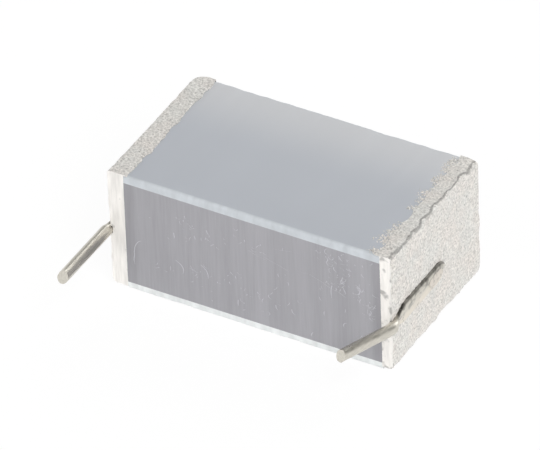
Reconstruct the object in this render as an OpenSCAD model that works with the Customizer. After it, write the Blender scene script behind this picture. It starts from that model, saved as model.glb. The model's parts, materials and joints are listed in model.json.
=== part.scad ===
// Uncased stacked-film capacitor.
// A block of pressed metallised films lies between two bare cover films. Metal is sprayed
// on both ends, and a tinned wire is flattened and welded into the metal at each end.
//
// Frame: X runs from end to end, -Y is the side that the leads leave, Z is up.
// The origin is the centre of the underside of the film block.

/* [Film block] */
// Length of the films, between the two sprayed ends
film_l = 14.1; // [10:0.1:24]
// Depth of the block, from sawn face to sawn face
film_d = 8.8; // [7:0.1:14]
// Height of the pressed electrode films
stack_h = 6; // [4:0.1:10]
// Thickness of each cover film
cover_t = 0.43; // [0.25:0.01:0.8]
// Radius of the worn sawn edges of the cover films
cover_edge_r = 0.18; // [0.04:0.01:0.22]

/* [Sprayed ends] */
// Thickness of the sprayed metal at the left end
left_spray_t = 0.85; // [0.5:0.05:1.2]
// Thickness of the sprayed metal at the right end
right_spray_t = 0.6; // [0.5:0.05:1.2]
// Radius of the upper outer edge of the metal
upper_edge_r = 0.1; // [0.05:0.01:0.3]
// Radius of the lower outer edge of the metal
lower_edge_r = 0.25; // [0.05:0.01:0.3]
// Radius of the worn far corner of the left end
left_corner_r = 0.6; // [0.05:0.05:0.6]
// Radius of the worn far corner of the right end
right_corner_r = 0.1; // [0.05:0.05:0.6]
// Height of the lumps on the metal
grain_h = 0.05; // [0.01:0.01:0.1]
// Distance from lump to lump
grain_w = 0.55; // [0.4:0.05:1]
// How far the metal laps over the upper cover film
lap_w = 0.24; // [0.15:0.01:0.5]
// Thickness of the metal on the cover film
lap_t = 0.05; // [0.03:0.01:0.15]
// Height of the metal's lower edge above the underside
spray_foot = 0.2; // [0.1:0.01:0.6]
// How much the torn edges of the metal wander
tear = 0.06; // [0:0.01:0.08]

/* [Wire] */
// Diameter of the tinned wire
wire_d = 0.6; // [0.5:0.05:0.8]
// Depth of the round wire below the outer face of the metal
wire_sink = 0.16; // [0.05:0.01:0.2]
// Radius of a bend, at the middle of the wire
bend_r = 0.7; // [0.5:0.1:1.5]
// Angle at which the tips are sheared
shear_a = 28; // [0:1:40]

/* [Welds] */
// Length of the flattened wire on the end face, from the sawn face
weld_l = 5.2; // [3:0.1:6]
// Width that the wire is flattened to
weld_w = 1.2; // [0.8:0.05:1.6]
// Thickness of the flattened wire
weld_t = 0.22; // [0.15:0.01:0.3]
// Depth of the flattened wire below the outer face of the metal
weld_sink = 0.12; // [0.05:0.01:0.14]
// Width of the neck between the round and the flattened wire
neck_w = 0.42; // [0.3:0.01:0.5]
// Length of the weld beads
bead_l = 1.3; // [0.6:0.1:1.6]
// Width of the weld beads
bead_w = 0.7; // [0.3:0.05:0.75]
// Height of the weld beads above the flattened wire
bead_h = 0.14; // [0.05:0.01:0.2]
// Distance from the middle of a bead to the inner end of the flattened wire
bead_back = 1; // [0.9:0.1:2]

/* [Leads] */
// Free length of the left lead, from the sawn face
left_free_l = 4.5; // [3:0.1:20]
// Height of the left lead above the middle of the block
left_rise = -0.1; // [-0.6:0.01:0.6]
// Inward bend of the left lead, in degrees
left_bend = 0; // [0:0.5:40]
// Free length of the right lead, from the sawn face
right_free_l = 3.6; // [3:0.1:20]
// Height of the right lead above the middle of the block
right_rise = -0.48; // [-0.6:0.01:0.6]
// Inward bend of the right lead, in degrees
right_bend = 22; // [0:0.5:40]

/* [Hidden] */
$fn = 48;

LEFT = -1;
RIGHT = 1;
block_h = stack_h + 2 * cover_t;
front_y = -film_d / 2;
end_x = film_l / 2;
wire_r = wire_d / 2;
// the round wire starts, and may bend, this far outside the sawn face
shoulder_out = 0.2;
// sections along the depth of the metal, closer together at the far corner, and points up
// its outer face, round its edges and across its top
spray_sections = 36;
face_points = 24;
edge_points = 3;
lap_points = 4;

// The ends are all drawn at the +X side, and the left one is mirrored
function value(side, left, right) = side == LEFT ? left : right;
function face_x(side) = end_x + value(side, left_spray_t, right_spray_t);
function lead_z(side) = block_h / 2 + value(side, left_rise, right_rise);
function bend(side) = value(side, left_bend, right_bend);
function free_l(side) = value(side, left_free_l, right_free_l);

function clamp01(t) = min(1, max(0, t));
function ease(t) = t * t * (3 - 2 * t);
function round_off(t) = sqrt(1 - clamp01(t) ^ 2);

// ---- smooth random lumps, about 1 high, one for each unit of u and v ----
function blend(a, b, t) = a + (b - a) * ease(t);
function knot(i, j, seed) = rands(-1, 1, 1, seed + 31 * i + 1009 * j)[0];
function lumps(u, v, seed) =
    let (i = floor(u), j = floor(v))
    blend(blend(knot(i, j, seed), knot(i + 1, j, seed), u - i),
          blend(knot(i, j + 1, seed), knot(i + 1, j + 1, seed), u - i), v - j);

// ---- electrode films and cover films ----
module film_stack() {
    color("#a6a8ac")
    translate([-end_x, front_y, cover_t])
    cube([film_l, film_d, stack_h]);
}

// A cover film with its two outer long edges worn round
module cover_film() {
    r = min(cover_edge_r, cover_t);
    rotate([90, 0, 90])
    translate([0, 0, -end_x])
    linear_extrude(film_l)
    difference() {
        translate([front_y, 0]) square([film_d, cover_t]);
        for (s = [-1, 1])
            translate([s * film_d / 2, cover_t])
            difference() {
                square(2 * r, center = true);
                translate([-s * r, -r]) circle(r);
            }
    }
}

module upper_cover_film() {
    color("#c3c9ce") translate([0, 0, block_h - cover_t]) cover_film();
}

module lower_cover_film() {
    color("#c3c9ce") translate([0, 0, cover_t]) mirror([0, 0, 1]) cover_film();
}

// ---- sprayed metal ----
// 0 where the electrode pressed the metal flat for the weld, 1 one lump away from it
function rough(side, y, z) =
    let (past_side = abs(z - lead_z(side)) - weld_w / 2,
         past_end = y - front_y - weld_l)
    ease(clamp01(max(past_side, past_end) / grain_w));

// Outline [x, z] of the metal at depth y: up the outer face, over the top and down the film
function spray_section(side, y) =
    let (seed = value(side, 100, 500),
         v = (y - front_y) / grain_w,
         corner_r = value(side, left_corner_r, right_corner_r),
         worn = corner_r * (1 - round_off((y + front_y) / corner_r + 1)),
         out = face_x(side) - worn * 0.9,
         low = spray_foot + tear * lumps(v, 0, seed + 11),
         top = block_h + lap_t * (1 + 0.5 * lumps(v, 0, seed + 23)),
         torn = tear * (lumps(v, 0, seed + 37) + lumps(2 * v, 0, seed + 41)),
         edge = end_x - lap_w - torn,
         r = upper_edge_r,
         s = lower_edge_r,
         face_low = low + s,
         face_high = top - r)
    concat(
        [[end_x, low]],
        [for (k = [0 : edge_points - 1]) let (a = 90 * k / edge_points)
            [out - s + s * sin(a), low + s - s * cos(a)]],
        [for (k = [0 : face_points])
            let (z = face_low + (face_high - face_low) * k / face_points)
            [out + grain_h * rough(side, y, z) * lumps(v, z / grain_w, seed), z]],
        [for (k = [1 : edge_points]) let (a = 90 * k / edge_points)
            [out - r + r * cos(a), face_high + r * sin(a)]],
        [for (k = [1 : lap_points])
            let (x = out - r + (edge - out + r) * k / lap_points,
                 sag = 0.3 * lap_t * (1 + lumps(v, x / grain_w, seed + 53)))
            [x, top - sag * k / lap_points]],
        [[edge, block_h], [end_x, block_h]]);

// Solid skinned over sections that all have the same number of points
module skin(sections, ys) {
    n = len(sections[0]);
    m = len(sections);
    points = [for (i = [0 : m - 1]) for (p = sections[i]) [p[0], ys[i], p[1]]];
    walls = [for (i = [0 : m - 2]) for (j = [0 : n - 1])
        let (a = i * n + j, b = i * n + (j + 1) % n)
        each [[a, b, a + n], [b, b + n, a + n]]];
    front_cap = [for (j = [n - 1 : -1 : 0]) j];
    back_cap = [for (j = [0 : n - 1]) (m - 1) * n + j];
    polyhedron(points, concat(walls, [front_cap, back_cap]));
}

module end_spray(side) {
    ys = [for (i = [0 : spray_sections])
        let (t = i / spray_sections) front_y + film_d * (0.75 * t + 0.25 * sin(90 * t))];
    difference() {
        skin([for (y = ys) spray_section(side, y)], ys);
        lead(side);
    }
}

module left_end_spray() {
    color("#e6e3de") mirror([1, 0, 0]) end_spray(LEFT);
}

module right_end_spray() {
    color("#e6e3de") end_spray(RIGHT);
}

// ---- leads ----
// Half the width of the flattened wire, y measured from the sawn face: a neck, a flare and
// a round inner end
function weld_half(y) =
    let (flare = ease(clamp01(y / weld_w)),
         tip_l = 0.6 * weld_w)
    (neck_w + (weld_w - neck_w) * flare) / 2 * round_off((y - weld_l + tip_l) / tip_l);

// Moves to where the lead crosses the plane of the sawn face, on the face of the metal
module at_weld(side) {
    translate([face_x(side), front_y, lead_z(side)]) children();
}

module flattened_wire() {
    steps = 40;
    ys = [for (k = [0 : steps]) weld_l - (weld_l + shoulder_out) * (1 - k / steps) ^ 1.3];
    upper = [for (y = ys) [y, weld_half(y)]];
    lower = [for (k = [steps - 1 : -1 : 0]) [ys[k], -weld_half(ys[k])]];
    translate([-weld_sink, 0, 0])
    rotate([90, 0, 90])
    linear_extrude(weld_t)
    polygon(concat(upper, lower));
}

module round_wire(side) {
    straight = free_l(side) - shoulder_out - bend_r * PI * bend(side) / 180;
    translate([wire_r - wire_sink, -shoulder_out, 0]) {
        sphere(wire_r);
        translate([-bend_r, 0, 0]) rotate([0, 0, -bend(side)]) {
            if (bend(side) > 0)
                rotate_extrude(angle = bend(side)) translate([bend_r, 0]) circle(wire_r);
            translate([bend_r, 0, 0]) rotate([90, 0, 0])
            difference() {
                cylinder(h = straight, r = wire_r);
                translate([0, 0, straight]) rotate([shear_a, 0, 0])
                translate([-wire_d, -wire_d, 0]) cube(2 * wire_d);
            }
        }
    }
}

module lead(side) {
    at_weld(side) {
        flattened_wire();
        round_wire(side);
    }
}

module left_lead() {
    color("#aaa69b") mirror([1, 0, 0]) lead(LEFT);
}

module right_lead() {
    color("#aaa69b") lead(RIGHT);
}

// ---- weld beads ----
// Ball that stands h above the plane x = 0, with a footprint of radius a on it
module cap_ball(a, h) {
    r = (a ^ 2 + h ^ 2) / (2 * h);
    translate([h - r, 0, 0]) sphere(r, $fn = 32);
}

module weld_bead() {
    a = bead_w / 2;
    spread = bead_l / 2 - a;
    difference() {
        hull() {
            translate([0, -spread, 0]) cap_ball(a, bead_h * 0.8);
            translate([0, 0, -0.1 * a]) cap_ball(0.9 * a, bead_h);
            translate([0, spread + 0.2 * a, 0.1 * a]) cap_ball(0.8 * a, bead_h * 0.9);
        }
        translate([-10 * bead_l, -5 * bead_l, -5 * bead_l]) cube(10 * bead_l);
    }
}

module bead(side) {
    at_weld(side)
    translate([weld_t - weld_sink, weld_l - bead_back, 0])
    weld_bead();
}

module left_weld_bead() {
    color("#d8d2c8") mirror([1, 0, 0]) bead(LEFT);
}

module right_weld_bead() {
    color("#d8d2c8") bead(RIGHT);
}

film_stack();
upper_cover_film();
lower_cover_film();
left_end_spray();
right_end_spray();
left_weld_bead();
right_weld_bead();
left_lead();
right_lead();
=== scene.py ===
"""Looks of the uncased stacked-film capacitor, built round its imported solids.

Every size that the solids set is read from them. What is left here is what a saw, a metal
spray gun and a spot welder leave behind: wear, grain, spatter, shreds and smears.
"""
import json
import math
import random

import bmesh
import bpy
from mathutils import Matrix, Vector, noise


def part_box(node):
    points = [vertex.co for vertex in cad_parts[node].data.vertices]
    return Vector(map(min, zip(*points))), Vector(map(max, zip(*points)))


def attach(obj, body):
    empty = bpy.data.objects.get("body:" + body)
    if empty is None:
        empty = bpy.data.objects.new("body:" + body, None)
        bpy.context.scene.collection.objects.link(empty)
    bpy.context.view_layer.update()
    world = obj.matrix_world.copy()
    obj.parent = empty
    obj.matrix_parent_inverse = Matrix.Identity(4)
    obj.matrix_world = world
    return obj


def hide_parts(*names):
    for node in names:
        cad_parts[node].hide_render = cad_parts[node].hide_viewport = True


bl_info = {
    "name": "Stacked-film capacitor",
    "version": (1, 0, 0),
    "blender": (4, 5, 0),
    "location": "3D View > Sidebar > Capacitor",
    "description": "Dresses an uncased stacked-film capacitor: films, ends, leads and welds",
    "category": "Object",
}

MM = 0.001
# half the width of the neck, between the round and the flattened wire
NECK_HALF = 0.21 * MM
# thickness of the flattened wire, and how far its upper rim stands out more than its middle
FLAT_THICKNESS = 0.22 * MM
RIM_PROUD = 0.1 * MM

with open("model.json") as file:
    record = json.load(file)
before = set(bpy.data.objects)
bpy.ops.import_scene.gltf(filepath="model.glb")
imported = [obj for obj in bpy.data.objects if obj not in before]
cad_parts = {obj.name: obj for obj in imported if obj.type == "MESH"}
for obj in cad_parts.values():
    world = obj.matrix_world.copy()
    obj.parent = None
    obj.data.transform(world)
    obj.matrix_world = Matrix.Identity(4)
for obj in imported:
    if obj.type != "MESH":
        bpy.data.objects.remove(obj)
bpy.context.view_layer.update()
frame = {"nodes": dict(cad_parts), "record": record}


# ---------------------------------------------------------------- helpers

def linear(code):
    """An sRGB hex colour as the linear numbers that shaders and lamps take."""
    parts = [int(code[i:i + 2], 16) / 255 for i in (1, 3, 5)]
    return [c / 12.92 if c <= 0.04045 else ((c + 0.055) / 1.055) ** 2.4 for c in parts]


def rgba(colour):
    """Three linear numbers, or a hex code, as the four that a colour socket takes."""
    return (*(linear(colour) if isinstance(colour, str) else colour), 1)


def add(tree, kind, inputs=None, stops=None, **settings):
    """Adds one shader node.

    Inputs are values or sockets, by name or number, and stops fill a colour ramp."""
    made = tree.nodes.new("ShaderNode" + kind)
    for name, value in settings.items():
        setattr(made, name, value)
    for key, value in (inputs or {}).items():
        if isinstance(value, bpy.types.NodeSocket):
            tree.links.new(value, made.inputs[key])
        else:
            made.inputs[key].default_value = value
    if stops:
        elements = made.color_ramp.elements
        while len(elements) < len(stops):
            elements.new(0.5)
        for element, (place, colour) in zip(elements, stops):
            element.position = place
            element.color = rgba(colour)
    return made


def new_material(name):
    """An empty material with its shader, and object coordinates in millimetres."""
    material = bpy.data.materials.new(name)
    material.use_nodes = True
    tree = material.node_tree
    tree.nodes.clear()
    shader = add(tree, "BsdfPrincipled")
    add(tree, "OutputMaterial", {"Surface": shader.outputs[0]})
    place = add(tree, "TexCoord").outputs["Object"]
    mm = add(tree, "Mapping", {"Vector": place, "Scale": (1 / MM,) * 3}).outputs[0]
    return material, tree, shader, mm


def place_mesh(bm, name, materials, slot, *nodes):
    """Makes a finished mesh a piece of the part, which stands for the nodes named."""
    mesh = bpy.data.meshes.new(name)
    bm.to_mesh(mesh)
    bm.free()
    for material in materials:
        mesh.materials.append(material)
    piece = bpy.data.objects.new(name, mesh)
    bpy.context.scene.collection.objects.link(piece)
    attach(piece, "root")
    if nodes:
        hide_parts(*nodes)
    return piece


def solid_copy(node):
    """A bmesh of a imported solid, its loose triangles merged."""
    bm = bmesh.new()
    bm.from_mesh(frame["nodes"][node].data)
    bmesh.ops.remove_doubles(bm, verts=bm.verts, dist=2e-4 * MM)
    bmesh.ops.dissolve_degenerate(bm, edges=bm.edges, dist=1e-3 * MM)
    return bm


def refine(bm, longest, rounds=6):
    """Halves every edge that is longer than longest, until none is left."""
    for _ in range(rounds):
        long = [e for e in bm.edges if e.calc_length() > longest]
        if not long:
            break
        bmesh.ops.subdivide_edges(bm, edges=long, cuts=1)
        bmesh.ops.triangulate(bm, faces=[f for f in bm.faces if len(f.verts) > 3])


def grain(point, size, octaves=3, seed=0):
    """Smooth noise from about -1 to 1 whose lumps are size millimetres apart."""
    at = point / (size * MM) + Vector((seed * 7.3, seed * -3.1, seed * 5.7))
    return noise.fractal(at, 1.0, 2.0, octaves)


def smooth(low, high, value):
    """0 below low, 1 above high, and an even slope between them."""
    t = min(1, max(0, (value - low) / (high - low)))
    return t * t * (3 - 2 * t)


def set_smooth(bm, sharp=40):
    """Smooth shading, apart from edges sharper than the angle."""
    for face in bm.faces:
        face.smooth = True
    for edge in bm.edges:
        if len(edge.link_faces) == 2 and edge.calc_face_angle(0) > math.radians(sharp):
            edge.smooth = False


# ---------------------------------------------------------------- sizes and colours

class FilmSettings(bpy.types.PropertyGroup):
    """The film block"""
    sawn: bpy.props.FloatVectorProperty(
        name="Sawn films", description="Colour of the sawn edges of the metallised films",
        default=linear("#a1a0a5"), size=3, subtype="COLOR", min=0, max=1)
    cover: bpy.props.FloatVectorProperty(
        name="Cover film", description="Colour of the flat faces of the cover films",
        default=linear("#b7bbc2"), size=3, subtype="COLOR", min=0, max=1)
    worn: bpy.props.FloatVectorProperty(
        name="Worn edge", description="Colour of the cover films where the saw scuffed them",
        default=linear("#c6cbd0"), size=3, subtype="COLOR", min=0, max=1)
    wander: bpy.props.FloatProperty(
        name="Edge wander", description="How far the worn edges of the cover films wander",
        default=0.05 * MM, min=0, max=0.15 * MM, unit="LENGTH", precision=5)
    shreds: bpy.props.IntProperty(
        name="Film shreds", description="Number of torn shreds that stick to the front sawn face",
        default=190, min=0, max=600)


class SpraySettings(bpy.types.PropertyGroup):
    """The sprayed ends"""
    zinc: bpy.props.FloatVectorProperty(
        name="Sprayed zinc", description="Colour of the metal sprayed on the ends",
        default=linear("#e6e3df"), size=3, subtype="COLOR", min=0, max=1)
    grain: bpy.props.FloatProperty(
        name="Grain height", description="Height of the sprayed droplets that freeze on the metal",
        default=0.022 * MM, min=0, max=0.06 * MM, unit="LENGTH", precision=5)
    droplet: bpy.props.FloatProperty(
        name="Droplet", description="Distance from droplet to droplet",
        default=0.16 * MM, min=0.08 * MM, max=0.5 * MM, unit="LENGTH", precision=5)
    spatter: bpy.props.IntProperty(
        name="Spatter", description="Number of stray droplets on the film beside the right end",
        default=760, min=0, max=2000)


class WireSettings(bpy.types.PropertyGroup):
    """The leads and their welds"""
    tin: bpy.props.FloatVectorProperty(
        name="Tinned wire", description="Colour of the dull tin on the wires",
        default=linear("#d2cec4"), size=3, subtype="COLOR", min=0, max=1)
    smear: bpy.props.FloatVectorProperty(
        name="Weld smear", description="Colour of the metal smeared by the weld",
        default=linear("#d8d1c8"), size=3, subtype="COLOR", min=0, max=1)
    bend_radius: bpy.props.FloatProperty(
        name="Bend radius", description="Radius of the bent wire, at its middle",
        default=0.7 * MM, min=0.3 * MM, max=2 * MM, unit="LENGTH", precision=5)


class StageSettings(bpy.types.PropertyGroup):
    """Camera, floor and light"""
    azimuth: bpy.props.FloatProperty(
        name="Azimuth", description="Where the camera stands, round from the front face",
        default=math.radians(30.3717), subtype="ANGLE")
    elevation: bpy.props.FloatProperty(
        name="Elevation", description="How far the camera looks down",
        default=math.radians(37.3063), subtype="ANGLE")
    roll: bpy.props.FloatProperty(
        name="Roll", description="How far the camera leans", default=math.radians(-2.0946),
        subtype="ANGLE")
    distance: bpy.props.FloatProperty(
        name="Distance", description="From the camera to the part", default=474.5 * MM,
        unit="LENGTH")
    floor: bpy.props.FloatVectorProperty(
        name="Floor", description="Colour of the paper that the part lies on",
        default=linear("#fafafa"), size=3, subtype="COLOR", min=0, max=1)


# ---------------------------------------------------------------- materials

def sawn_film_material(films):
    """Pressed polyester film with thin metal on it, sawn across: a dull grey face.

    The saw leaves streaks across the films, and the block is darker near the sprayed ends."""
    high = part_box("film_stack")[1]
    material, tree, shader, mm = new_material("sawn_metallised_film")
    # saw streaks 0.13 mm apart and some 3 mm long, across the films
    fine = add(tree, "TexNoise", {
        "Vector": add(tree, "Mapping", {"Vector": mm, "Scale": (1, 1, 0.045)}).outputs[0],
        "Scale": 1 / 0.13, "Detail": 3.0, "Roughness": 0.6})
    # broad bands where the saw pressed unevenly, 1.1 mm apart
    broad = add(tree, "TexNoise", {
        "Vector": add(tree, "Mapping", {"Vector": mm, "Scale": (1, 1, 0.06)}).outputs[0],
        "Scale": 1 / 1.1, "Detail": 1.0})
    both = add(tree, "Math", {0: fine.outputs[0], 1: broad.outputs[0]}, operation="ADD")
    shade = add(tree, "MapRange", {"Value": both.outputs[0], "From Min": 0.7, "From Max": 1.3,
                                   "To Min": 0.91, "To Max": 1.08})
    # the outermost 0.6 mm at each end holds film without metal, and looks darker
    apart = add(tree, "SeparateXYZ", {0: mm})
    ends = add(tree, "MapRange", {
        "Value": add(tree, "Math", {0: apart.outputs[0]}, operation="ABSOLUTE").outputs[0],
        "From Min": high.x / MM - 0.75, "From Max": high.x / MM - 0.25,
        "To Min": 1.0, "To Max": 0.88}, interpolation_type="SMOOTHSTEP")
    tone = add(tree, "Math", {0: shade.outputs[0], 1: ends.outputs[0]}, operation="MULTIPLY")
    colour = add(tree, "MixRGB", {0: 1.0, 1: rgba(films.sawn), 2: tone.outputs[0]},
                 blend_type="MULTIPLY")
    tree.links.new(colour.outputs[0], shader.inputs["Base Color"])
    bump = add(tree, "Bump", {"Height": fine.outputs[0], "Strength": 0.35,
                              "Distance": 0.015 * MM})
    tree.links.new(bump.outputs[0], shader.inputs["Normal"])
    shader.inputs["Roughness"].default_value = 0.55
    shader.inputs["IOR"].default_value = 1.57
    return material


def cover_film_material(films, name, worn_and_lit_edge_colour):
    """Bare polyester film, rolled: a smooth satin face, milky where the saw scuffed its edges. On
    the lower film the edges are paler with painted light, from the white paper below shining
    through the film.
    """
    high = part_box("upper_cover_film")[1]
    material, tree, shader, mm = new_material(name)
    apart = add(tree, "SeparateXYZ", {0: mm})
    # slow cloudiness of the rolled film, 4 mm from cloud to cloud
    cloud = add(tree, "TexNoise", {"Vector": mm, "Scale": 1 / 4, "Detail": 1.0})
    flat = add(tree, "MixRGB", {0: cloud.outputs[0], 1: rgba([c * 0.97 for c in films.cover]),
                                2: rgba([min(1, c * 1.03) for c in films.cover])})
    # light comes through the film from its far edge and makes it paler there
    far = add(tree, "MapRange", {"Value": apart.outputs[1], "From Min": 0.0,
                                 "From Max": high.y / MM, "To Min": 0.0, "To Max": 0.6},
              interpolation_type="SMOOTHSTEP")
    flat = add(tree, "MixRGB", {0: far.outputs[0], 1: flat.outputs[0], 2: rgba("#d3d3d4")})
    # the edges, wherever the surface turns away from the flat faces: scuffed on the upper film,
    # and on the lower film paler with painted light from the white paper below
    up = add(tree, "SeparateXYZ", {0: add(tree, "NewGeometry").outputs["Normal"]})
    turn = add(tree, "Math", {0: up.outputs[2]}, operation="ABSOLUTE")
    scuffed_and_lit_edge = add(tree, "MapRange", {"Value": turn.outputs[0], "From Min": 0.97,
                                   "From Max": 0.995, "To Min": 1.0, "To Max": 0.0})
    # streaks of the saw on the edge, 0.3 mm apart
    streak = add(tree, "TexNoise", {
        "Vector": add(tree, "Mapping", {"Vector": mm, "Scale": (1, 0.4, 0.4)}).outputs[0],
        "Scale": 1 / 0.45, "Detail": 2.0})
    pale = add(tree, "MixRGB", {
        0: add(tree, "MapRange", {"Value": streak.outputs[0], "From Min": 0.35,
                                  "From Max": 0.65}).outputs[0],
        1: rgba([c * 0.92 for c in worn_and_lit_edge_colour]), 2: rgba([min(1, c * 1.06) for c in worn_and_lit_edge_colour])})
    colour = add(tree, "MixRGB", {0: scuffed_and_lit_edge.outputs[0], 1: flat.outputs[0], 2: pale.outputs[0]})
    tree.links.new(colour.outputs[0], shader.inputs["Base Color"])
    rough = add(tree, "MapRange", {"Value": scuffed_and_lit_edge.outputs[0], "To Min": 0.36, "To Max": 0.6})
    tree.links.new(rough.outputs[0], shader.inputs["Roughness"])
    shader.inputs["IOR"].default_value = 1.6
    return material


def sprayed_zinc_material(spray):
    """Arc-sprayed zinc: molten droplets frozen on each other, pale, matt and full of pores."""
    material, tree, shader, mm = new_material("sprayed_zinc")
    drop = 1 / (spray.droplet / MM)
    coarse = add(tree, "TexNoise", {"Vector": mm, "Scale": drop, "Detail": 2.0,
                                    "Roughness": 0.6})
    fine = add(tree, "TexNoise", {"Vector": mm, "Scale": drop * 1.3, "Detail": 2.0,
                                  "Roughness": 0.7})
    # pores between the droplets, dark because light doesn't get out of them
    pore = add(tree, "TexVoronoi", {"Vector": mm, "Scale": drop * 0.8, "Randomness": 1.0})
    pores = add(tree, "MapRange", {"Value": pore.outputs["Distance"], "From Min": 0.10,
                                   "From Max": 0.30, "To Min": 0.62, "To Max": 1.0})
    rare = add(tree, "MapRange", {"Value": coarse.outputs[0], "From Min": 0.40,
                                  "From Max": 0.50, "To Min": 0.0, "To Max": 1.0})
    mask = add(tree, "Math", {0: pores.outputs[0], 1: rare.outputs[0]}, operation="MAXIMUM")
    tone = add(tree, "MapRange", {"Value": fine.outputs[0], "From Min": 0.3, "From Max": 0.7,
                                  "To Min": 0.7, "To Max": 1.2})
    tone = add(tree, "Math", {0: tone.outputs[0], 1: mask.outputs[0]}, operation="MULTIPLY")
    # painted shade of a crevice along the upper outer edge of the right end, in a line that
    # wanders between two places along X, and only on the upper face, in millimetres
    line_near, line_far = 7.42, 7.68
    below_top, on_top = 6.72, 6.84
    apart = add(tree, "SeparateXYZ", {0: mm})
    wander = add(tree, "TexNoise", {"Vector": mm, "Scale": 1 / 0.8, "Detail": 3.0})
    line_x = add(tree, "MapRange", {"Value": wander.outputs[0], "From Min": 0.3,
                                    "From Max": 0.7, "To Min": line_near, "To Max": line_far})
    away = add(tree, "Math", {0: apart.outputs[0], 1: line_x.outputs[0]},
               operation="SUBTRACT")
    away = add(tree, "Math", {0: away.outputs[0]}, operation="ABSOLUTE")
    crevice_shade = add(tree, "MapRange", {"Value": away.outputs[0], "From Min": 0.03,
                                  "From Max": 0.08, "To Min": 0.55, "To Max": 1.0})
    upper = add(tree, "MapRange", {"Value": apart.outputs[2], "From Min": below_top,
                                   "From Max": on_top, "To Min": 1.0, "To Max": 0.0})
    crevice_shade = add(tree, "Math", {0: crevice_shade.outputs[0], 1: upper.outputs[0]}, operation="MAXIMUM")
    tone = add(tree, "Math", {0: tone.outputs[0], 1: crevice_shade.outputs[0]}, operation="MULTIPLY")
    # patches of warmer and cooler metal, 1.3 mm from patch to patch
    patch = add(tree, "TexNoise", {"Vector": mm, "Scale": 1 / 1.3, "Detail": 2.0})
    base = add(tree, "ValToRGB", {0: patch.outputs[0]},
               stops=[(0.35, [c * k for c, k in zip(spray.zinc, (1.0, 0.985, 0.975))]),
                      (0.65, [c * k for c, k in zip(spray.zinc, (0.985, 1.0, 1.0))])])
    colour = add(tree, "MixRGB", {0: 1.0, 1: base.outputs[0], 2: tone.outputs[0]},
                 blend_type="MULTIPLY")
    tree.links.new(colour.outputs[0], shader.inputs["Base Color"])
    height = add(tree, "Math", {0: coarse.outputs[0], 1: fine.outputs[0]}, operation="ADD")
    bump = add(tree, "Bump", {"Height": height.outputs[0], "Strength": 0.9,
                              "Distance": 0.045 * MM})
    tree.links.new(bump.outputs[0], shader.inputs["Normal"])
    shader.inputs["Roughness"].default_value = 0.62
    shader.inputs["Metallic"].default_value = 0.42
    return material


def sawn_zinc_material(spray):
    """Sprayed zinc cut by the saw: bright and even, with a few open pores."""
    material, tree, shader, mm = new_material("sawn_zinc")
    streak = add(tree, "TexNoise", {
        "Vector": add(tree, "Mapping", {"Vector": mm, "Scale": (1, 1, 0.12)}).outputs[0],
        "Scale": 1 / 0.16, "Detail": 2.0})
    # open pits 0.3 mm across, darkened with painted shade, only in the right end, which the saw
    # tore more
    pit = add(tree, "TexNoise", {"Vector": mm, "Scale": 1 / 0.5, "Detail": 2.0})
    apart = add(tree, "SeparateXYZ", {0: mm})
    torn = add(tree, "MapRange", {"Value": apart.outputs[0], "From Min": -1, "From Max": 1,
                                  "To Min": -0.12, "To Max": 0.0})
    depth = add(tree, "Math", {0: pit.outputs[0], 1: torn.outputs[0]}, operation="SUBTRACT")
    pit_shade = add(tree, "MapRange", {"Value": depth.outputs[0], "From Min": 0.33,
                                  "From Max": 0.45, "To Min": 0.55, "To Max": 1.0})
    tone = add(tree, "MapRange", {"Value": streak.outputs[0], "From Min": 0.3, "From Max": 0.7,
                                  "To Min": 0.86, "To Max": 1.06})
    tone = add(tree, "Math", {0: tone.outputs[0], 1: pit_shade.outputs[0]}, operation="MULTIPLY")
    bright = [min(1, c * 1.16) for c in spray.zinc]
    colour = add(tree, "MixRGB", {0: 1.0, 1: rgba(bright), 2: tone.outputs[0]},
                 blend_type="MULTIPLY")
    tree.links.new(colour.outputs[0], shader.inputs["Base Color"])
    bump = add(tree, "Bump", {"Height": pit.outputs[0], "Strength": 0.3, "Distance": 0.03 * MM})
    tree.links.new(bump.outputs[0], shader.inputs["Normal"])
    shader.inputs["Roughness"].default_value = 0.5
    shader.inputs["Metallic"].default_value = 0.15
    return material


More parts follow.
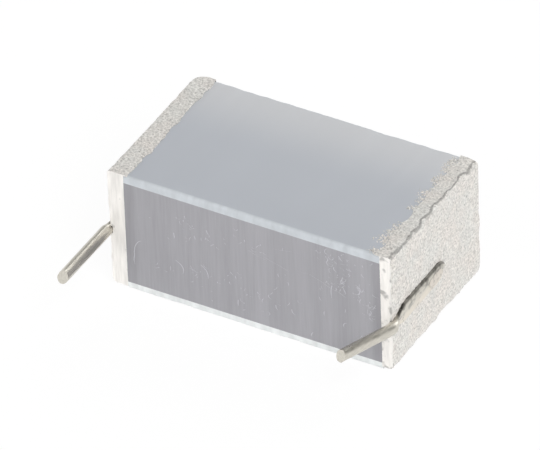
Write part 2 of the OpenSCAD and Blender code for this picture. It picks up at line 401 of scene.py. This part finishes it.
def tinned_wire_material(wire):
    """Drawn wire with a thin dull coat of tin, dragged lengthwise by the die."""
    material, tree, shader, mm = new_material("tinned_wire")
    streak = add(tree, "TexNoise", {
        "Vector": add(tree, "Mapping", {"Vector": mm, "Scale": (1, 0.06, 1)}).outputs[0],
        "Scale": 1 / 0.09, "Detail": 2.0})
    blotch = add(tree, "TexNoise", {"Vector": mm, "Scale": 1 / 0.5, "Detail": 2.0})
    tone = add(tree, "MapRange", {"Value": streak.outputs[0], "From Min": 0.3, "From Max": 0.7,
                                  "To Min": 0.88, "To Max": 1.06})
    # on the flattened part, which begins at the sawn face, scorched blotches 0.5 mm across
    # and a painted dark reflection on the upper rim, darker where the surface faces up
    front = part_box("film_stack")[0].y / MM
    apart = add(tree, "SeparateXYZ", {0: mm})
    flat = add(tree, "MapRange", {"Value": apart.outputs[1], "From Min": front + 0.1,
                                  "From Max": front + 0.5})
    facing = add(tree, "SeparateXYZ", {0: add(tree, "NewGeometry").outputs["Normal"]})
    rim_painted_reflection = add(tree, "MapRange", {"Value": facing.outputs[2], "From Min": 0.12,
                                 "From Max": 0.4, "To Min": 1.0, "To Max": 0.36})
    scorch = add(tree, "MapRange", {"Value": blotch.outputs[0], "From Min": 0.42,
                                    "From Max": 0.52, "To Min": 0.5, "To Max": 1.0})
    dark = add(tree, "Math", {0: rim_painted_reflection.outputs[0], 1: scorch.outputs[0]}, operation="MULTIPLY")
    dark = add(tree, "MixRGB", {0: flat.outputs[0], 1: rgba((1, 1, 1)), 2: dark.outputs[0]})
    tone = add(tree, "MixRGB", {0: 1.0, 1: tone.outputs[0], 2: dark.outputs[0]},
               blend_type="MULTIPLY")
    colour = add(tree, "MixRGB", {0: 1.0, 1: rgba(wire.tin), 2: tone.outputs[0]},
                 blend_type="MULTIPLY")
    # zinc smeared over the lower half of the flattened part, up to the middle of the right one
    smear_full, smear_none = 2.7, 3.05
    low_side = add(tree, "MapRange", {"Value": apart.outputs[2], "From Min": smear_full,
                                      "From Max": smear_none, "To Min": 0.8, "To Max": 0.0})
    smeared = add(tree, "Math", {0: low_side.outputs[0], 1: flat.outputs[0]},
                  operation="MULTIPLY")
    colour = add(tree, "MixRGB", {0: smeared.outputs[0], 1: colour.outputs[0],
                                  2: rgba("#e2dacd")})
    shine = add(tree, "Math", {0: 1.0, 1: smeared.outputs[0]}, operation="SUBTRACT")
    tree.links.new(shine.outputs[0], shader.inputs["Metallic"])
    tree.links.new(colour.outputs[0], shader.inputs["Base Color"])
    rough = add(tree, "MapRange", {"Value": blotch.outputs[0], "From Min": 0.3,
                                   "From Max": 0.7, "To Min": 0.26, "To Max": 0.44})
    tree.links.new(rough.outputs[0], shader.inputs["Roughness"])
    bump = add(tree, "Bump", {"Height": streak.outputs[0], "Strength": 0.25,
                              "Distance": 0.01 * MM})
    tree.links.new(bump.outputs[0], shader.inputs["Normal"])
    return material


def weld_smear_material(wire):
    """Tin and zinc melted together by the weld, pushed up and frozen: dull and faintly pink."""
    material, tree, shader, mm = new_material("weld_smear")
    blotch = add(tree, "TexNoise", {"Vector": mm, "Scale": 1 / 0.3, "Detail": 3.0})
    colour = add(tree, "ValToRGB", {0: blotch.outputs[0]},
                 stops=[(0.36, [c * 0.62 for c in wire.smear]), (0.5, wire.smear[:])])
    tree.links.new(colour.outputs[0], shader.inputs["Base Color"])
    bump = add(tree, "Bump", {"Height": blotch.outputs[0], "Strength": 0.5,
                              "Distance": 0.03 * MM})
    tree.links.new(bump.outputs[0], shader.inputs["Normal"])
    shader.inputs["Metallic"].default_value = 0.5
    shader.inputs["Roughness"].default_value = 0.5
    return material


# ---------------------------------------------------------------- pieces

def block(bm, low, high):
    """A box from corner to corner."""
    size = high - low
    made = bmesh.ops.create_cube(bm, size=1)["verts"]
    bmesh.ops.transform(bm, matrix=Matrix.Diagonal((*size, 1)), verts=made)
    bmesh.ops.translate(bm, vec=(low + high) / 2, verts=made)
    return made


def sliced(bm, axis, low, high, count):
    """Cuts the whole mesh into even slices along an axis."""
    for k in range(1, count):
        at = Vector((0, 0, 0))
        at[axis] = low + (high - low) * k / count
        across = Vector((0, 0, 0))
        across[axis] = 1
        bmesh.ops.bisect_plane(bm, geom=bm.verts[:] + bm.edges[:] + bm.faces[:], plane_co=at,
                               plane_no=across)


def cover_film(films, node, material, outer):
    """A cover film with its outer long edges worn unevenly by the saw; outer is 1 on top."""
    low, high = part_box(node)
    bm = bmesh.new()
    block(bm, low, high)
    face_z = high.z if outer > 0 else low.z
    worn = [e for e in bm.edges if all(abs(v.co.z - face_z) < 1e-9 for v in e.verts)
            and abs(e.verts[0].co.y - e.verts[1].co.y) < 1e-9]
    bmesh.ops.bevel(bm, geom=worn, offset=0.16 * MM, offset_type="OFFSET", segments=4,
                    profile=0.5, affect="EDGES", material=-1)
    sliced(bm, 0, low.x, high.x, 140)
    for v in bm.verts:
        from_top = abs(v.co.z - face_z)
        from_side = high.y - abs(v.co.y)
        near = max(0, 1 - (from_top + from_side) / (0.4 * MM))
        if near and from_top < 0.2 * MM and from_side < 0.2 * MM:
            along = Vector((v.co.x, math.copysign(3 * MM, v.co.y), 0))
            shift = films.wander * (grain(along, 1.6, 2, 3) + 0.4 * grain(along, 0.35, 2, 5))
            v.co.y -= math.copysign(abs(shift) * near, v.co.y)
            v.co.z -= outer * abs(shift) * near * 0.7
    set_smooth(bm, 60)
    return place_mesh(bm, node + "_worn", [material], "cover_film", node)


def strand(bm, rng, x, z, length, width, heading, curl):
    """One shred of film that lies on the front face from (x, z); 0 heads straight down."""
    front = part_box("film_stack")[0].y
    ring = bmesh.ops.create_circle(bm, segments=5, radius=width / 2)["verts"]
    bmesh.ops.scale(bm, vec=(1, 0.4, 1), verts=ring)
    bmesh.ops.translate(bm, vec=(x, front, z), verts=ring)
    edges = list({e for v in ring for e in v.link_edges})
    steps = max(6, int(length / (0.12 * MM)))
    for k in range(steps):
        made = bmesh.ops.extrude_edge_only(bm, edges=edges)["geom"]
        tip = [g for g in made if isinstance(g, bmesh.types.BMVert)]
        edges = [g for g in made if isinstance(g, bmesh.types.BMEdge)]
        heading += curl / steps + rng.gauss(0, 0.12)
        step = length / steps
        bmesh.ops.translate(bm, verts=tip, vec=(
            step * math.sin(heading), 0, -step * math.cos(heading)))
        middle = sum((v.co for v in tip), Vector()) / len(tip)
        if k >= steps - 2:
            bmesh.ops.scale(bm, vec=(0.5,) * 3, verts=tip, space=Matrix.Translation(-middle))
    bmesh.ops.contextual_create(bm, geom=edges)


# where shreds gather on the front face: middle x and z, spread along x and z, share of them,
# all in millimetres from the middle of the underside
SHRED_CLUSTERS = ((4.6, 5.8, 0.6, 0.3, 0.17), (5.3, 4.4, 0.7, 0.5, 0.24),
                  (6.5, 3.3, 0.13, 0.3, 0.08), (-3.5, 4.7, 1.2, 0.5, 0.12),
                  (-4.0, 2.3, 1.2, 0.4, 0.1), (-0.3, 2.2, 1.3, 0.5, 0.12),
                  (0.0, 5.1, 1.2, 0.3, 0.07), (3.0, 3.0, 2.5, 1.2, 0.1))
# long single fibres: x, z, length, width, heading and curl
FIBRES = ((-6.2, 3.2, 1.7, 0.05, -1.1, 1.4), (-4.3, 2.7, 0.9, 0.06, 1.2, -1.8),
          (-2.9, 2.9, 0.9, 0.05, 1.3, -1.9), (-0.2, 4.72, 1.1, 0.025, 1.45, 0.0),
          (0.7, 4.6, 1.4, 0.03, 1.47, 0.0), (2.4, 4.42, 2.9, 0.03, 1.47, -0.05),
          (1.2, 5.3, 1.4, 0.028, 1.55, 0.0), (4.4, 4.2, 0.8, 0.05, -0.3, 0.5),
          (5.9, 4.6, 0.7, 0.055, 0.8, -2.0), (5.0, 4.9, 0.6, 0.05, -0.5, 1.6))


def film_shreds(films, material):
    """Thin torn shreds and fibres of film that the saw left on the front face."""
    low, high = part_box("film_stack")
    rng = random.Random(11)
    bm = bmesh.new()
    for x, z, wide, tall, share in SHRED_CLUSTERS:
        for _ in range(round(share * films.shreds)):
            at_x = min(high.x - 0.1 * MM, max(low.x + 0.1 * MM, rng.gauss(x, wide) * MM))
            at_z = min(high.z - 0.1 * MM, max(low.z + 0.5 * MM, rng.gauss(z, tall) * MM))
            strand(bm, rng, at_x, at_z, rng.uniform(0.05, 0.42) * MM,
                   rng.uniform(0.018, 0.05) * MM, rng.gauss(0, 0.8), rng.uniform(-2.6, 2.6))
    for x, z, length, width, heading, curl in FIBRES:
        strand(bm, rng, x * MM, z * MM, length * MM, width * MM, heading, curl)
    bmesh.ops.recalc_face_normals(bm, faces=bm.faces[:])
    set_smooth(bm, 180)
    return place_mesh(bm, "film_shreds", [material], "sawn_film")


def sprayed_end(spray, node, materials):
    """The sprayed metal with its droplets; materials are the sprayed face and the sawn faces."""
    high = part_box(node)[1]
    bm = solid_copy(node)
    refine(bm, 0.085 * MM)
    bm.normal_update()
    size = spray.droplet / MM
    past_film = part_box("film_stack")[1].x + 0.01 * MM
    flare, sag, foot_drop, foot_tear = 0.12 * MM, 0.16 * MM, 0.02 * MM, 0.1 * MM
    moves = []
    for v in bm.verts:
        sawn = abs(v.co.y) > high.y - 1e-7
        inner = abs(v.co.x) < high.x and abs(v.normal.x) > 0.99 and v.normal.x * v.co.x < 0
        height = spray.grain * (grain(v.co, size, 3) + 0.5 * grain(v.co, size * 3, 2, 4))
        move = v.normal * height
        if sawn:
            move = Vector((move.x, 0, move.z))
        if inner:
            move = Vector((0, 0, 0))
        if node.startswith("right") and v.co.x > past_film:
            # the far corner stands out and sags, and the foot is torn
            far = smooth(high.y - 1.5 * MM, high.y, v.co.y)
            out = smooth(past_film, high.x, v.co.x)
            top = smooth(high.z - 0.6 * MM, high.z - 0.1 * MM, v.co.z)
            foot = smooth(1.0 * MM, 0.2 * MM, v.co.z)
            move.x += flare * far * out * (1 - 0.6 * foot)
            move.z -= sag * far * out * top
            along = Vector((0, v.co.y, 0))
            move.z -= foot * out * (foot_drop + foot_tear * grain(along, 0.5, 3, 8))
        moves.append(move)
    for v, move in zip(bm.verts, moves):
        v.co += move
    set_smooth(bm, 50)
    for face in bm.faces:
        if abs(face.normal.y) > 0.9 and all(abs(v.co.y) > high.y - 1e-7 for v in face.verts):
            face.material_index = 1
    return place_mesh(bm, node + "_grained", materials, "sprayed_zinc", node)


def spatter(spray, material):
    """Stray droplets of zinc on the upper cover film, thinner away from the right end."""
    film_low, film_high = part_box("upper_cover_film")
    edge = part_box("right_end_spray")[0].x
    rng = random.Random(5)
    bm = bmesh.new()
    clumps = [rng.uniform(0.02, 0.97) for _ in range(34)]
    for _ in range(spray.spatter):
        x = edge + 0.1 * MM - abs(rng.gauss(0, 0.22)) * MM
        share = rng.choice(clumps) + rng.gauss(0, 0.012)
        y = film_low.y + (film_high.y - film_low.y) * min(0.98, max(0.01, share))
        radius = rng.uniform(0.016, 0.055) * MM
        drop = bmesh.ops.create_icosphere(bm, subdivisions=1, radius=radius)["verts"]
        bmesh.ops.scale(bm, vec=(1, rng.uniform(0.8, 1.5), 0.6), verts=drop)
        bmesh.ops.rotate(bm, cent=(0, 0, 0), verts=drop,
                         matrix=Matrix.Rotation(rng.uniform(0, 3.1), 3, "Z"))
        bmesh.ops.translate(bm, vec=(x, y, film_high.z), verts=drop)
    set_smooth(bm, 180)
    return place_mesh(bm, "film_spatter", [material], "sprayed_zinc")


def lead_stations(wire, side):
    """Places along a lead, from the inner end of its flat to its cut tip.

    Each is (middle, direction, half height, half thickness, squareness)."""
    low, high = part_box(side + "_lead")
    bead_low, bead_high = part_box(side + "_weld_bead")
    mount = next(m for m in frame["record"]["mounts"] if m["name"] == side + "_lead_wire")
    radius = mount["dims"]["r_mm"] * MM
    axis = Vector(mount["axis"])
    middle = Vector(mount["pos_m"])
    start = middle - axis * mount["dims"]["length_mm"] * MM / 2
    tip = middle + axis * mount["dims"]["length_mm"] * MM / 2
    sign = 1 if side == "right" else -1
    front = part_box("film_stack")[0].y
    flat_out = bead_low.x if sign > 0 else -bead_high.x
    flat_half = (high.z - low.z) / 2
    root_x = (high.x if sign > 0 else -low.x) - radius
    z = middle.z
    stations = []
    length = high.y - front
    steps = 34
    for k in range(steps + 1):
        y = high.y - 1e-6 - (length - 0.1 * MM) * k / steps
        from_front = (y - front) / (1.2 * MM)
        half = NECK_HALF + (flat_half - NECK_HALF) * smooth(0, 1, from_front)
        nose = max(0.0, (y - high.y + 0.72 * MM) / (0.72 * MM))
        half *= math.sqrt(max(0.0, 1 - nose * nose))
        join = 1 - smooth(-0.05, 0.55, (y - front) / MM)
        thick = FLAT_THICKNESS / 2 * (1 - join) + radius * 0.8 * join
        if half < thick:
            thick = max(half, 0.03 * MM) if nose > 0 else thick
        x = (flat_out - FLAT_THICKNESS / 2) * (1 - join) + root_x * join
        stations.append((Vector((sign * x, y, z)), Vector((0, -1, 0)), max(half, 0.02 * MM),
                         thick, 3.2 - 1.0 * join))
    bend = math.acos(min(1, -axis.y))
    shoulder = Vector((sign * root_x, front - 0.2 * MM, z))
    stations.append((shoulder, Vector((0, -1, 0)), radius, radius, 2))
    if bend > 0.01:
        turn = 10
        centre = shoulder - Vector((sign * wire.bend_radius, 0, 0))
        for k in range(1, turn):
            a = bend * k / turn
            out = Vector((sign * math.cos(a), -math.sin(a), 0))
            stations.append((centre + out * wire.bend_radius,
                             Vector((-sign * math.sin(a), -math.cos(a), 0)), radius, radius, 2))
    for k in range(13):
        stations.append((start.lerp(tip, k / 12), axis, radius, radius, 2))
    return stations


def lead(wire, side, material):
    """A tinned wire: its flattened end, the neck, the bend and the sheared tip."""
    bm = bmesh.new()
    count = 28
    angles = [2 * math.pi * k / count for k in range(count)]

    def shape(verts, station):
        middle, direction, half, thick, square = station
        across = Vector((-direction.y, direction.x, 0))
        sign = 1 if side == "right" else -1
        for v, a in zip(verts, angles):
            c, s = math.cos(a), math.sin(a)
            up = math.copysign(abs(s) ** (2 / square), s) * half
            out = math.copysign(abs(c) ** (2 / square), c) * thick
            lean = sign * max(0, sign * c) * up / max(half, NECK_HALF)
            out += RIM_PROUD * lean * smooth(2, 3, square)
            v.co = middle + across * out + Vector((0, 0, up))

    stations = lead_stations(wire, side)
    ring = bmesh.ops.create_circle(bm, segments=count, radius=MM)["verts"]
    shape(ring, stations[0])
    first = list({e for v in ring for e in v.link_edges})
    edges = first
    for station in stations[1:]:
        order = {v: k for k, v in enumerate(ring)}
        made = bmesh.ops.extrude_edge_only(bm, edges=edges)["geom"]
        new = [g for g in made if isinstance(g, bmesh.types.BMVert)]
        edges = [g for g in made if isinstance(g, bmesh.types.BMEdge)]
        following = {}
        for v in new:
            below = next(e.other_vert(v) for e in v.link_edges if e.other_vert(v) in order)
            following[order[below]] = v
        ring = [following[k] for k in range(count)]
        shape(ring, station)
    bmesh.ops.contextual_create(bm, geom=first)
    bmesh.ops.contextual_create(bm, geom=edges)
    # the cutter leaves the tip slanted, with a torn lower rim
    tip_at, direction = stations[-1][0], stations[-1][1]
    radius = stations[-1][2]
    for v in bm.verts:
        along = (v.co - tip_at).dot(direction)
        if along > -2.2 * radius:
            rise = (v.co.z - tip_at.z) / radius
            share = smooth(-2.2 * radius, 0, along)
            v.co -= direction * share * radius * 0.42 * (rise + 1)
            v.co += Vector((0, 0, 1)) * share * grain(v.co, 0.2, 2, 9) * 0.05 * MM
    bmesh.ops.recalc_face_normals(bm, faces=bm.faces[:])
    set_smooth(bm, 55)
    return place_mesh(bm, side + "_lead_drawn", [material], "tinned_wire", side + "_lead")


def weld_bead(side, material):
    """Metal that the weld electrode pushed up onto the flattened wire."""
    node = side + "_weld_bead"
    bm = solid_copy(node)
    refine(bm, 0.06 * MM)
    bm.normal_update()
    low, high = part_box(node)
    base = low.x if side == "right" else high.x
    moves = [(v, v.normal * grain(v.co, 0.25, 3, 2) * 0.03 * MM) for v in bm.verts
             if abs(v.co.x - base) > 1e-6]
    for v, move in moves:
        v.co += move
    set_smooth(bm, 60)
    return place_mesh(bm, node + "_smeared", [material], "weld_metal", node)


# ---------------------------------------------------------------- stage

def stage_camera(settings):
    """A long lens that looks down on the part from its front right corner."""
    a, e, r = settings.azimuth, settings.elevation, settings.roll
    back = Vector((math.sin(a) * math.cos(e), -math.cos(a) * math.cos(e), math.sin(e)))
    right = Vector((math.cos(a), math.sin(a), 0))
    up = back.cross(right)
    leaned = right * math.cos(r) + up * math.sin(r)
    leaned_up = up * math.cos(r) - right * math.sin(r)
    middle = Vector((-0.1 * MM, 0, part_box("upper_cover_film")[1].z / 2))
    place = middle + back * settings.distance
    aim = middle - leaned * 1.219 * MM - leaned_up * 0.114 * MM
    away = (place - aim).normalized()
    across = leaned_up.cross(away).normalized()
    data = bpy.data.cameras.new("camera")
    data.lens = 652.7
    data.sensor_width = 36
    data.clip_start = 0.01
    data.clip_end = 10
    camera = bpy.data.objects.new("camera", data)
    camera.matrix_world = Matrix((across, away.cross(across), away)).transposed().to_4x4()
    camera.location = place
    bpy.context.scene.collection.objects.link(camera)
    bpy.context.scene.camera = camera


def stage_floor(settings):
    """A sheet of white paper under the part, bright to the camera, with a faint shadow."""
    bm = bmesh.new()
    bmesh.ops.create_grid(bm, x_segments=1, y_segments=1, size=1.5)
    bmesh.ops.translate(bm, vec=(0, 0, -0.002 * MM), verts=bm.verts)
    mesh = bpy.data.meshes.new("floor")
    bm.to_mesh(mesh)
    bm.free()
    material, tree, shader, _ = new_material("white_paper")
    shader.inputs["Base Color"].default_value = rgba(settings.floor)
    shader.inputs["Roughness"].default_value = 0.9
    shader.inputs["Specular IOR Level"].default_value = 0.0
    seen = add(tree, "LightPath")
    either = add(tree, "Math", {0: seen.outputs["Is Camera Ray"],
                                1: seen.outputs["Is Glossy Ray"]}, operation="MAXIMUM")
    either = add(tree, "Math", {0: either.outputs[0],
                                1: seen.outputs["Is Transmission Ray"]}, operation="MAXIMUM")
    share = add(tree, "Math", {0: either.outputs[0], 1: 0.9}, operation="MULTIPLY")
    glow = add(tree, "Emission", {"Color": (1, 1, 1, 1), "Strength": 1.02})
    both = add(tree, "MixShader", {0: share.outputs[0], 1: shader.outputs[0],
                                   2: glow.outputs[0]})
    out = next(n for n in tree.nodes if n.type == "OUTPUT_MATERIAL")
    tree.links.new(both.outputs[0], out.inputs["Surface"])
    mesh.materials.append(material)
    floor = bpy.data.objects.new("floor", mesh)
    bpy.context.scene.collection.objects.link(floor)


def stage_light():
    """An even white tent, dimmer straight above, and three soft lamps."""
    world = bpy.data.worlds.new("tent")
    bpy.context.scene.world = world
    world.use_nodes = True
    tree = world.node_tree
    tree.nodes.clear()
    direction = add(tree, "SeparateXYZ", {0: add(tree, "TexCoord").outputs["Generated"]})
    dim = add(tree, "ValToRGB", {0: direction.outputs[2]},
              stops=[(0.22, "#ffffff"), (0.6, "#8c8c8a"), (0.92, "#50504e")])
    seen = add(tree, "LightPath")
    level = add(tree, "MapRange", {"Value": seen.outputs["Is Diffuse Ray"], "To Min": 1.0,
                                   "To Max": 0.95})
    back = add(tree, "Background", {"Color": dim.outputs[0], "Strength": level.outputs[0]})
    add(tree, "OutputWorld", {"Surface": back.outputs[0]})
    for name, spot, size, power in (("key", (0.35, -0.25, 0.45), 0.35, 2.2),
                                    ("fill", (-0.4, -0.35, 0.3), 0.4, 0.8),
                                    ("rear", (0.05, 0.5, 0.35), 0.5, 1.2)):
        data = bpy.data.lights.new(name, "AREA")
        data.size = size
        data.energy = power
        lamp = bpy.data.objects.new(name, data)
        lamp.location = spot
        lamp.rotation_euler = Vector(spot).to_track_quat("Z", "Y").to_euler()
        bpy.context.scene.collection.objects.link(lamp)
    bpy.context.scene.view_settings.view_transform = "Standard"


# ---------------------------------------------------------------- operators

class CAPACITOR_OT_stage(bpy.types.Operator):
    """Set up the camera, the paper floor, the tent and the lamps"""
    bl_idname = "capacitor.stage"
    bl_label = "Stage"

    def execute(self, context):
        stage_camera(context.scene.capacitor_stage)
        stage_floor(context.scene.capacitor_stage)
        stage_light()
        return {"FINISHED"}


class CAPACITOR_OT_films(bpy.types.Operator):
    """Dress the film stack and the two cover films"""
    bl_idname = "capacitor.films"
    bl_label = "Films"

    def execute(self, context):
        films = context.scene.capacitor_films
        sawn = sawn_film_material(films)
        stack = frame["nodes"]["film_stack"]
        stack.data.materials.clear()
        stack.data.materials.append(sawn)
        upper = cover_film_material(films, "upper_polyester_film", films.worn[:])
        # the paler edge colour of the lower film is painted light, from the white paper below
        # shining through it
        lower = cover_film_material(films, "lower_polyester_film", linear("#e9ecec"))
        cover_film(films, "upper_cover_film", upper, 1)
        cover_film(films, "lower_cover_film", lower, -1)
        shred, _, shader, _ = new_material("torn_film")
        shader.inputs["Base Color"].default_value = rgba("#c4c4ca")
        shader.inputs["Roughness"].default_value = 0.5
        film_shreds(films, shred)
        return {"FINISHED"}


class CAPACITOR_OT_sprayed_ends(bpy.types.Operator):
    """Make the sprayed ends and the spatter beside the right one"""
    bl_idname = "capacitor.sprayed_ends"
    bl_label = "Sprayed ends"

    def execute(self, context):
        spray = context.scene.capacitor_spray
        zinc = sprayed_zinc_material(spray)
        sawn = sawn_zinc_material(spray)
        for side in ("left", "right"):
            sprayed_end(spray, side + "_end_spray", [zinc, sawn])
        spatter(spray, zinc)
        return {"FINISHED"}


class CAPACITOR_OT_leads(bpy.types.Operator):
    """Make the two tinned leads and their weld beads"""
    bl_idname = "capacitor.leads"
    bl_label = "Leads and welds"

    def execute(self, context):
        wire = context.scene.capacitor_wire
        tin = tinned_wire_material(wire)
        smear = weld_smear_material(wire)
        for side in ("left", "right"):
            lead(wire, side, tin)
            weld_bead(side, smear)
        return {"FINISHED"}


OPERATORS = (CAPACITOR_OT_stage, CAPACITOR_OT_films, CAPACITOR_OT_sprayed_ends,
             CAPACITOR_OT_leads)
SETTINGS = {"capacitor_stage": StageSettings, "capacitor_films": FilmSettings,
            "capacitor_spray": SpraySettings, "capacitor_wire": WireSettings}


class CAPACITOR_PT_sidebar(bpy.types.Panel):
    """The capacitor's pieces and their settings"""
    bl_idname = "CAPACITOR_PT_sidebar"
    bl_label = "Stacked-film capacitor"
    bl_space_type = "VIEW_3D"
    bl_region_type = "UI"
    bl_category = "Capacitor"

    def draw(self, context):
        for (name, group), operator in zip(SETTINGS.items(), OPERATORS):
            box = self.layout.box()
            box.operator(operator.bl_idname)
            for setting in group.__annotations__:
                box.prop(getattr(context.scene, name), setting)


def register():
    for group in SETTINGS.values():
        bpy.utils.register_class(group)
    for name, group in SETTINGS.items():
        setattr(bpy.types.Scene, name, bpy.props.PointerProperty(type=group))
    for operator in OPERATORS:
        bpy.utils.register_class(operator)
    bpy.utils.register_class(CAPACITOR_PT_sidebar)


def unregister():
    bpy.utils.unregister_class(CAPACITOR_PT_sidebar)
    for operator in reversed(OPERATORS):
        bpy.utils.unregister_class(operator)
    for name in SETTINGS:
        delattr(bpy.types.Scene, name)
    for group in SETTINGS.values():
        bpy.utils.unregister_class(group)


def main():
    register()
    bpy.ops.capacitor.stage()
    bpy.ops.capacitor.films()
    bpy.ops.capacitor.sprayed_ends()
    bpy.ops.capacitor.leads()


if __name__ == "__main__":
    main()
